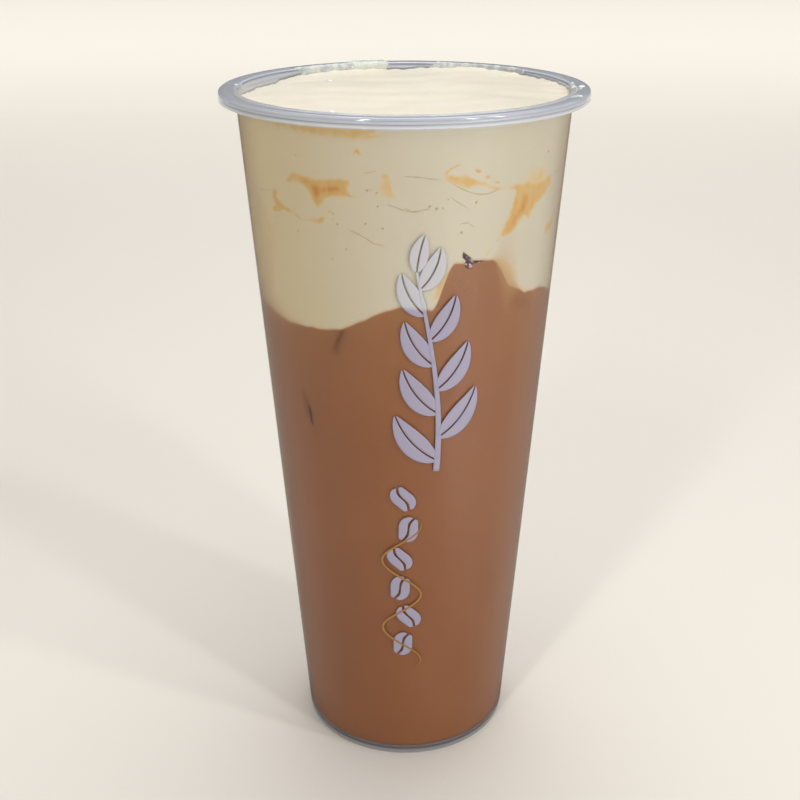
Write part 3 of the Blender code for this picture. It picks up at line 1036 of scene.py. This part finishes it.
def round_ends(t):
    """A width that is 1 in the middle and rounds off to 0 at both ends."""
    return math.sqrt(max(0.0, 1 - (2 * t - 1) ** 2))


def thicken(bm, thick):
    """Turns every face outwards from the axis, then gives the sheets their thickness."""
    bmesh.ops.recalc_face_normals(bm, faces=bm.faces)
    for face in bm.faces:
        if face.normal.dot(face.calc_center_median() * Vector((1, 1, 0))) < 0:
            face.normal_flip()
    bmesh.ops.solidify(bm, geom=list(bm.faces), thickness=thick)


def line_path(places):
    """A path of straight pieces through places (angle, height) that goes on past its ends."""
    flat = [(on_wall(angle, up), up) for angle, up in places]

    def at(t):
        position = min(max(t, 0.0), 1.0) * (len(flat) - 1)
        first = min(int(position), len(flat) - 2)
        share = position - first
        before, after = flat[first], flat[first + 1]
        over = t - min(max(t, 0.0), 1.0)
        return tuple(b + (a - b) * (share + over) for b, a in zip(before, after))

    return at


print("a straight path's middle is", line_path(((0.0, 100.0), (0.0, 110.0)))(0.5))

# %% [markdown]
# ## Cracks and specks in the cream
# Where the cream folded over as it was poured, thin brown lines run along the wall, with
# tiny bubbles beside them. The lines are ribbons a third of a millimetre wide, and each
# bubble is a tiny ball. Both sit in the wall's inner skin, against the cream.

# %% Cracks and specks
CRACKS = (
    ((-65.9, 165.3), (-59.1, 165.6), (-51.3, 166.3)),
    ((-19.3, 160.1), (-15.9, 159.1), (-13.4, 158.3), (-10.3, 156.8), (-6.8, 156.5)),
    ((-5.7, 166.6), (-3.0, 165.9), (0.8, 164.9), (4.7, 164.7)),
    ((-12.8, 173.8), (-9.0, 174.4)),
    ((-0.1, 173.3), (4.8, 173.0), (12.2, 172.1)),
    ((13.4, 172.0), (17.1, 170.4), (20.8, 169.0), (24.5, 168.1), (28.3, 167.9), (32.7, 168.8)),
    ((14.9, 168.0), (17.6, 166.6), (21.6, 164.7)),
    ((-0.6, 165.9), (2.7, 164.8), (8.4, 165.5)),
    ((69.9, 169.5), (67.0, 169.0), (62.8, 168.9)),
    ((34.2, 156.4), (33.2, 155.7)),
    ((18.3, 161.2), (21.1, 161.4), (23.9, 160.1)),
    ((104.0, 161.0), (111.0, 159.0), (116.0, 159.5), (123.0, 157.0)),
    ((171.0, 173.0), (178.0, 171.5), (186.0, 172.0)),
    ((-140.0, 158.0), (-132.0, 160.0), (-126.0, 159.0)),
)
SPECKS = (
    (-37.3, 176.5), (-12.1, 169.7), (-8.9, 169.2), (-24.1, 163.5), (-22.8, 161.0),
    (-12.9, 161.7), (-8.7, 166.0), (-7.2, 160.7), (8.1, 166.0), (12.5, 165.4),
    (10.4, 165.4), (14.2, 167.5), (23.9, 166.2), (19.2, 159.2), (6.5, 156.6),
    (55.9, 175.2), (-39.1, 157.7), (-20.0, 154.9), (-25.4, 152.1), (-51.0, 157.8),
)


def make_seeped_coffee():
    material, tree, shader = new_material("seeped_coffee")
    shade, grain = film(tree, 500.0, 2500.0, 0.3)
    colour = tint(tree, shade, (0.49, 0.38, 0.20), (0.60, 0.49, 0.31))
    set_surface(tree, shader, colour, shade, (0.25, 0.45), grain, FINE_RELIEF)
    return material


SKIN = INTO_WALL - WALL  # where the fillings end, measured from the outside of the wall
CRACK_LIFT, CRACK_THICK = 0.00005, 0.00004
CRACK_HALF_WIDTH = 0.16  # millimetres
SEEPED_COFFEE = make_seeped_coffee()
bm = bmesh.new()
for places in CRACKS:
    phase = random.Random(int(places[0][0] * 10)).uniform(0, 6)

    def crack_width(t, phase=phase):
        return CRACK_HALF_WIDTH * round_ends(t) * (0.7 + 0.3 * math.sin(17 * t + phase))

    ribbon(bm, line_path(places), crack_width, SKIN + CRACK_LIFT, 24)
thicken(bm, CRACK_THICK)
finish_piece("cream_cracks", bm, [SEEPED_COFFEE])

BACK_SPECKS = 24
SPECK_RADII = (0.00018, 0.00034)
bm = bmesh.new()
sizer = random.Random(5)
back_specks = [(sizer.uniform(80, 280), sizer.uniform(150, 183)) for _ in range(BACK_SPECKS)]
for speck_angle, speck_z in SPECKS + tuple(back_specks):
    ball = bmesh.ops.create_icosphere(bm, subdivisions=2, radius=sizer.uniform(*SPECK_RADII))
    spot = wall_place(on_wall(speck_angle, speck_z), speck_z, SKIN)
    bmesh.ops.translate(bm, vec=spot, verts=ball["verts"])
finish_piece("cream_specks", bm, [SEEPED_COFFEE])

# %% [markdown]
# ## The ice corner
# One cube holds the steep peak of coffee up, and its corner touches the plastic just where
# cream and coffee meet. Melting ice keeps flat facets with soft edges: here a ball is cut by
# a few seeded planes, flattened, tilted and pushed against the plastic.

# %% Ice corner
def make_wet_ice():
    material, tree, shader = new_material("wet_ice")
    facets = noise(tree, 1300.0, 4.0)
    # The ice is clear: its dark colour is painted shade and its lighter one painted glints.
    dark, painted_glint = (0.085, 0.038, 0.045), (0.50, 0.37, 0.34)
    colour = tint(tree, spread(tree, facets, 0.50, 0.66), dark, painted_glint)
    set_surface(tree, shader, colour, facets, (0.12, 0.3), facets, 0.0003)
    return material


SHARDS = (  # angle and height of each shard, its half sizes in millimetres, its tilt in degrees
    (21.2, 152.9, (0.9, 0.6, 2.3), -42),
    (22.5, 151.6, (1.5, 0.6, 1.9), -20),
    (24.8, 151.4, (2.4, 0.5, 0.6), 3),
)
CUTS = 9
CUT_DISTANCE = 0.66  # of the ball's radius, from its middle
ICE_SINK = 0.0002  # how much deeper than the fillings' skin the ice stands
melt = random.Random(3)
bm = bmesh.new()
for shard_angle, shard_z, half_sizes, tilt in SHARDS:
    ball = bmesh.ops.create_icosphere(bm, subdivisions=3, radius=1.0)["verts"]
    cuts = [Vector([melt.uniform(-1, 1) for _ in "xyz"]).normalized() for _ in range(CUTS)]
    for vert in ball:
        point = vert.co.copy()
        reach = min(CUT_DISTANCE / max(point.dot(cut), 0.01) for cut in cuts)
        vert.co = point * min(1.0, reach)
    turned = Euler((0, math.radians(tilt), math.radians(shard_angle))).to_matrix().to_4x4()
    bmesh.ops.scale(bm, vec=[size / 1000 for size in half_sizes], verts=ball)
    bmesh.ops.transform(bm, matrix=turned, verts=ball)
    spot = wall_place(on_wall(shard_angle, shard_z), shard_z, SKIN - ICE_SINK)
    bmesh.ops.translate(bm, vec=spot, verts=ball)
ice_corner = finish_piece("ice_corner", bm, [make_wet_ice()])
depths = [wall_radius(v.co.z) - v.co.xy.length for v in ice_corner.data.vertices]
print("the ice ends", round(min(depths) * 1000, 2), "mm inside the wall's outer face")

# %% [markdown]
# ## The printed sprig
# The cup's front carries a plain print: a leafy sprig over a row of coffee beans, in a pale
# lilac ink, and a thin gold line that sways past them. A leaf is two half bands with a gap
# for its rib. Ink sits on the plastic, so the bands lie just outside the wall.

# %% Inks
def make_ink(name, low, high, rough, over_cream=None):
    material, tree, shader = new_material(name)
    shade, grain = film(tree, 90.0, 3000.0, 0.35)
    colour = tint(tree, shade, low, high)
    if over_cream:
        colour = tint(tree, stored(tree, "cream_behind"), colour, over_cream)
    set_surface(tree, shader, colour, shade, (rough, rough + 0.12), grain, 0.00001)
    return material


LILAC, LILAC_OVER_CREAM = ((0.31, 0.28, 0.38), (0.36, 0.33, 0.43)), (0.50, 0.49, 0.52)
GOLD = ((0.28, 0.135, 0.025), (0.38, 0.20, 0.045))
LILAC_INK = make_ink("lilac_ink", *LILAC, 0.42, LILAC_OVER_CREAM)
GOLD_INK = make_ink("gold_ink", *GOLD, 0.35)
INK_LIFT = 0.00006
INK_THICK = 0.00003
BEHIND_BLUR = 0.0008


def note_what_is_behind(piece):
    """Thin ink looks lighter where cream stands behind it, so each point notes that."""
    angle, z, radius = wall_places(piece.data)
    above = z - border_at(angle, radius)
    write_value(piece.data, "cream_behind", soft_step(above, -BEHIND_BLUR, BEHIND_BLUR))


print("ink stands up to", round((INK_LIFT + INK_THICK) * 1000, 2), "mm outside the wall")

# %% Sprig
STEM_BOTTOM, STEM_TOP = 95.0, 150.0
LEAVES = 8
FIRST_LEAF, LEAF_SPAN = 0.06, 0.86  # where they grow, as shares of the stem
RIB_HALF_GAP = 0.18


def stem_path(t):
    """The stem's place: millimetres round the front and height."""
    return 4.0 + 4.5 * math.sin(1.1 + 2.3 * t), STEM_BOTTOM + (STEM_TOP - STEM_BOTTOM) * t


def leaf(bm, root, heading, length, half_width, curl):
    """Two half leaves on either side of a rib that curls."""
    turn = math.radians(heading)

    def rib(t):
        bend = turn + math.radians(curl) * t
        return root[0] + length * t * math.sin(bend), root[1] + length * t * math.cos(bend)

    def outline(t):
        return half_width * math.sin(math.pi * min(max(t, 0.0), 1.0) ** 0.85) ** 0.8

    for side in (-1, 1):

        def lane(t, side=side):
            return beside(rib, t, side * (outline(t) / 2 + RIB_HALF_GAP))

        ribbon(bm, lane, lambda t: outline(t) / 2, INK_LIFT, 28, 6)


bm = bmesh.new()
ribbon(bm, stem_path, lambda t: 0.85 - 0.5 * t, INK_LIFT, 60, 4)
for number in range(LEAVES):
    t = FIRST_LEAF + LEAF_SPAN * number / (LEAVES - 1)
    side = 1 if number % 2 else -1
    length = 17.5 - 6.5 * t
    leaf(bm, stem_path(t), side * (62 - 16 * t), length, 3.3 - 0.8 * t, -side * 22)
leaf(bm, stem_path(1.0), 4, 9.5, 2.1, 8)
thicken(bm, INK_THICK)
sprig = finish_piece("print_sprig", bm, [LILAC_INK])
note_what_is_behind(sprig)

# %% Beans
BEANS = 6
BEAN_TOP, BEAN_STEP = 87.0, 9.4
BEAN_LENGTH, BEAN_TILT = 7.4, 24
HALF_BEAN = 1.2  # half the width of one half
bm = bmesh.new()
for number in range(BEANS):
    middle = (-0.6 + 1.5 * math.sin(number * 1.9), BEAN_TOP - BEAN_STEP * number)
    tilt = math.radians(BEAN_TILT if number % 2 else -BEAN_TILT)
    for side in (-1, 1):

        def half_bean(t, middle=middle, tilt=tilt, side=side):
            along = (t - 0.5) * BEAN_LENGTH
            off = side * (0.28 + 1.25 * round_ends(t)) + 0.45 * math.sin(2 * math.pi * t)
            x = off * math.cos(tilt) + along * math.sin(tilt)
            y = along * math.cos(tilt) - off * math.sin(tilt)
            return middle[0] + x, middle[1] + y

        ribbon(bm, half_bean, lambda t: HALF_BEAN * round_ends(t), INK_LIFT, 24, 6)
thicken(bm, INK_THICK)
beans = finish_piece("print_beans", bm, [LILAC_INK])
note_what_is_behind(beans)

# %% Gold line
GOLD_LIFT = INK_LIFT * 2.2  # over the lilac ink
SWAY, SWAYS = 5.2, 2.25
GOLD_BOTTOM, GOLD_LENGTH = 31.0, 50.0


def sway_path(t):
    sway = SWAY * math.sin(0.6 + 2 * math.pi * SWAYS * t)
    return -1.0 + sway, GOLD_BOTTOM + GOLD_LENGTH * t


bm = bmesh.new()
ribbon(bm, sway_path, lambda t: 0.30 * (1 - (2 * t - 1) ** 6), GOLD_LIFT, 150, 4)
thicken(bm, INK_THICK)
finish_piece("print_gold_line", bm, [GOLD_INK])

# %% [markdown]
# ## Cream on the rim
# Filling a cup to the brim leaves cream on its lip. At the back a smear runs over the rim,
# and beside it a thin film clings to the inside. Each is a pair of grids that follow the
# lip's profile, one a little above it and one inside the plastic, bridged at their borders.
# The upper one rises from an uneven border, as a blob does. A few whitish drops lie beside
# them: partly drops of cream, partly painted glints.

# %% Lip skin
LIP_REACH = 0.0034  # how far down the inside the skin starts


def lip_line():
    """The lip's profile from the cream over the bead and the flange to the outer edge."""
    points = [point for point in rim_profile() if point[1] > CUP_HEIGHT - LIP_REACH]
    last = max(range(len(points)), key=lambda i: points[i][0])
    return np.array(points[: last + 1])


LIP = lip_line()
LIP_RUN = np.concatenate([[0.0], np.cumsum(np.hypot(*np.diff(LIP, axis=0).T))])


def lip_at(run):
    return np.interp(run, LIP_RUN, LIP[:, 0]), np.interp(run, LIP_RUN, LIP[:, 1])


def on_lip(angle, run, lift):
    """A place on the lip: an angle, millimetres along the profile and a distance above it."""
    run = min(max(run / 1000, 0.0), LIP_RUN[-1])
    (radius, z), ahead, behind = lip_at(run), lip_at(run + 0.0001), lip_at(run - 0.0001)
    step = (ahead[0] - behind[0], ahead[1] - behind[1])
    length = math.hypot(*step)
    radius, z = radius - step[1] / length * lift, z + step[0] / length * lift
    turn = math.radians(angle)
    return radius * math.sin(turn), -radius * math.cos(turn), z


print("the lip's profile is", round(LIP_RUN[-1] * 1000, 2), "mm long")

# %% Smears
SMEAR_SINK = 0.00012  # how far a smear's border dips into the plastic
ENDS_WANDER = 0.09  # how much a smear's ends wander, as a share of its half width


def smear(bm, angles, runs, thick, ragged, seed, soft):
    """A blob of cream that follows the lip. Its border wanders and dips into the plastic."""
    waves = random.Random(seed)
    phases = [waves.uniform(0, 6.3) for _ in range(4)]
    width = math.radians(abs(angles[1] - angles[0])) * MOUTH_X * 1000
    borders = []
    for side in (1, 0):
        made = bmesh.ops.create_grid(bm, x_segments=int(width * 5), y_segments=30, size=1.0)
        for vert in made["verts"]:
            u, v = vert.co.x, vert.co.y
            angle = angles[0] + (angles[1] - angles[0]) * (u + 1) / 2
            run = runs[0] + (runs[1] - runs[0]) * (v + 1) / 2
            end = 1 - ENDS_WANDER * (1 + math.sin(run * 1.7 + phases[0] + 1.5 * (u > 0)))
            reach = min((end - abs(u)) * width / 2, (1 - v) * (runs[1] - runs[0]) / 2) / soft
            wave = math.sin(angle * 1.9 + phases[0]) + math.sin(run * 2.3 + angle * 0.9 + phases[1])
            wave += 0.7 * math.sin(angle * 4.7 - run * 3.1 + phases[2])
            wave += 0.4 * math.sin(run * 6.1 + phases[3])
            swell = min(max(reach * (1 + ragged * wave) - 0.1, 0.0), 1.0)
            swell = swell * swell * (3 - 2 * swell)
            above = thick * swell * (1 + 0.15 * wave) - SMEAR_SINK * (1 - swell)
            vert.co = on_lip(angle, run, above if side else -SMEAR_SINK * 1.6)
        edges = {edge for vert in made["verts"] for edge in vert.link_edges}
        borders += [edge for edge in edges if len(edge.link_faces) == 1]
    bmesh.ops.bridge_loops(bm, edges=borders)


def make_cream_film(name, thin, full):
    material, tree, shader = new_material(name)
    blots = noise(tree, 480.0, 3.0)
    colour = tint(tree, spread(tree, blots, 0.35, 0.65), thin, full)
    set_surface(tree, shader, colour, blots, (0.06, 0.2), blots, 0.00012)
    return material


WHOLE_LIP = LIP_RUN[-1] * 1000 + 0.2
BACK_SMEAR = ((-174.5, -157.5), (0.0, WHOLE_LIP), 0.00026, 0.25, 4, 1.0)
FILM_SMEARS = (  # angles, millimetres along the lip, thickness, raggedness, seed and softness
    ((128.0, 171.0), (0.0, 3.9), 0.00020, 0.14, 21, 0.7),
    ((-163.0, -134.0), (0.0, 4.6), 0.00022, 0.25, 5, 0.8),
    ((-97.0, -87.0), (1.2, 3.0), 0.00012, 0.45, 8, 0.9),
    ((82.0, 93.0), (1.8, 4.6), 0.00020, 0.45, 9, 0.9),
    ((65.0, 72.0), (4.2, 6.4), 0.00018, 0.45, 12, 0.9),
)
bm = bmesh.new()
smear(bm, *BACK_SMEAR)
smear_cream = make_cream_film("smear_cream", (0.56, 0.58, 0.52), (0.63, 0.645, 0.575))
finish_piece("cream_on_rim", bm, [smear_cream])
bm = bmesh.new()
for film_smear in FILM_SMEARS:
    smear(bm, *film_smear)
film_cream = make_cream_film("film_cream", (0.40, 0.42, 0.43), (0.61, 0.62, 0.58))
finish_piece("film_on_lip", bm, [film_cream])

# %% Drops
# Whitish drops put where glints shine: partly drops of cream, partly painted glints.
DROPS_AND_GLINTS = (  # angle, distance from the axis and radius in millimetres
    (-143.6, 44.4, 0.55),
    (-155.0, 44.6, 0.5),
    (-127.0, 25.2, 0.7),
    (-91.6, 43.4, 0.45),
    (-29.6, 34.7, 0.8),
    (86.5, 45.2, 0.8),
    (97.0, 44.0, 0.5),
    (67.0, 46.3, 0.6),
    (166.9, 43.6, 0.65),
    (157.8, 44.4, 0.5),
)
DROP_FORM = (1.15, 0.8, 0.45)
bm = bmesh.new()
for drop_angle, drop_radius, size in DROPS_AND_GLINTS:
    turn, out = math.radians(drop_angle), drop_radius / 1000
    x, y = out * math.sin(turn), -out * math.cos(turn)
    z = np.interp(out, LIP[:, 0], LIP[:, 1]) if out > MOUTH_X else cream_height(x, y)
    ball = bmesh.ops.create_icosphere(bm, subdivisions=3, radius=size / 1000)["verts"]
    bmesh.ops.scale(bm, vec=DROP_FORM, verts=ball)
    bmesh.ops.translate(bm, vec=(x, y, float(z)), verts=ball)
# A whitish cream, paler than the cream itself, for the painted glints.
drop_cream_painted_glint = make_cream_film("drop_cream_painted_glint", (0.74, 0.75, 0.72), (0.84, 0.84, 0.79))
finish_piece("cream_drops_and_glints", bm, [drop_cream_painted_glint])

# %% [markdown]
# ## Floor, light and world
# A plain pale floor and large soft lights show the cup as it is. The key light stands on
# the right, so that side is lighter, and three narrow strips give the rim its glints. A low
# card of light on the right mirrors in the plastic as a soft veil, and a large backdrop
# lights the far floor. Far from the lights the floor glows a little, and the world looks
# paler than it shines, so the set stays light from every side.

# %% Floor
FLOOR_RADIUS = 8.0
FLOOR_BEIGE = ((0.80, 0.755, 0.68), (0.82, 0.775, 0.70))
GLOW = (0.60, 0.58, 0.54)
GLOW_AWAY = (0.9, 2.3)  # metres from the cup
GLOW_BEHIND = (2.0, -0.5)  # the backdrop lights the floor behind the cup, so less glow there


def make_floor():
    bm = bmesh.new()
    bmesh.ops.create_circle(bm, cap_ends=True, segments=64, radius=FLOOR_RADIUS)
    mesh = bpy.data.meshes.new("floor")
    bm.to_mesh(mesh)
    bm.free()
    material, tree, shader = new_material("floor")
    shade, _ = film(tree, 8.0, 200.0, 0.3)
    feed(tree, tint(tree, shade, *FLOOR_BEIGE), shader.inputs["Base Color"])
    shader.inputs["Roughness"].default_value = 0.7
    place = add(tree, "TexCoord").outputs["Object"]
    away, parts = add(tree, "VectorMath", operation="LENGTH"), add(tree, "SeparateXYZ")
    tree.links.new(place, away.inputs[0])
    tree.links.new(place, parts.inputs[0])
    far = spread(tree, away.outputs["Value"], *GLOW_AWAY)
    unlit = maths(tree, "MULTIPLY", far, spread(tree, parts.outputs["Y"], *GLOW_BEHIND))
    feed(tree, tint(tree, unlit, (0.0, 0.0, 0.0), GLOW), shader.inputs["Emission Color"])
    shader.inputs["Emission Strength"].default_value = 1.0
    mesh.materials.append(material)
    floor = bpy.data.objects.new("floor", mesh)
    bpy.context.scene.collection.objects.link(floor)
    print("a floor of", FLOOR_RADIUS * 2, "m across")


make_floor()


# %% Lights
def area_light(name, place, target, size, radiance, colour=(1, 1, 1)):
    """A rectangular light. Its power follows from how bright its face is."""
    data = bpy.data.lights.new(name, "AREA")
    data.shape = "RECTANGLE"
    data.size, data.size_y = size
    data.energy = radiance * math.pi * size[0] * size[1]
    data.color = colour
    lamp = bpy.data.objects.new(name, data)
    lamp.location = place
    aim = Vector(target) - Vector(place)
    lamp.rotation_euler = aim.to_track_quat("-Z", "Y").to_euler()
    lamp.visible_camera = False
    bpy.context.scene.collection.objects.link(lamp)
    print(name, round(data.energy, 2), "W")
    return lamp


MIDDLE = (0, 0, 0.11)
area_light("key", (0.55, -0.95, 0.75), MIDDLE, (0.9, 0.9), 0.75, (1.0, 0.985, 0.96))
area_light("fill", (-0.65, -0.85, 0.6), MIDDLE, (0.8, 0.8), 0.50, (1.0, 0.92, 0.78))
area_light("top", (0.05, 0.12, 0.75), (0, 0, 0.18), (0.5, 0.5), 2.6)
area_light("card", (0.30, -0.26, 0.004), (0.30, -0.26, 1.0), (0.42, 0.36), 1.1)
STRIPS = ((-0.42, -0.86, 0.075, 21.0), (0.65, -0.72, 0.05, 24.0), (0.84, -0.48, 0.05, 24.0))
for number, (x, y, width, radiance) in enumerate(STRIPS):
    area_light(f"strip_{number}", (x, y, 0.75), MIDDLE, (width, 0.6), radiance)
backdrop = area_light("backdrop", (0, 2.2, 1.8), (0, 2.0, 0), (5.0, 2.8), 1.0, (1.0, 0.99, 0.95))
backdrop.data.spread = math.radians(90)

# %% World
SKY_SHINES, SKY_LOOKS = 0.24, 0.78  # the world's strength as a light, and as it is seen
world = bpy.data.worlds.new("studio")
bpy.context.scene.world = world
world.use_nodes = True
tree, sky = world.node_tree, world.node_tree.nodes["Background"]
feed(tree, (0.95, 0.96, 1.0), sky.inputs["Color"])
seen = add(tree, "LightPath").outputs["Is Camera Ray"]
feed(tree, spread(tree, seen, 0.0, 1.0, SKY_SHINES, SKY_LOOKS), sky.inputs["Strength"])
bpy.context.scene.view_settings.view_transform = "Standard"
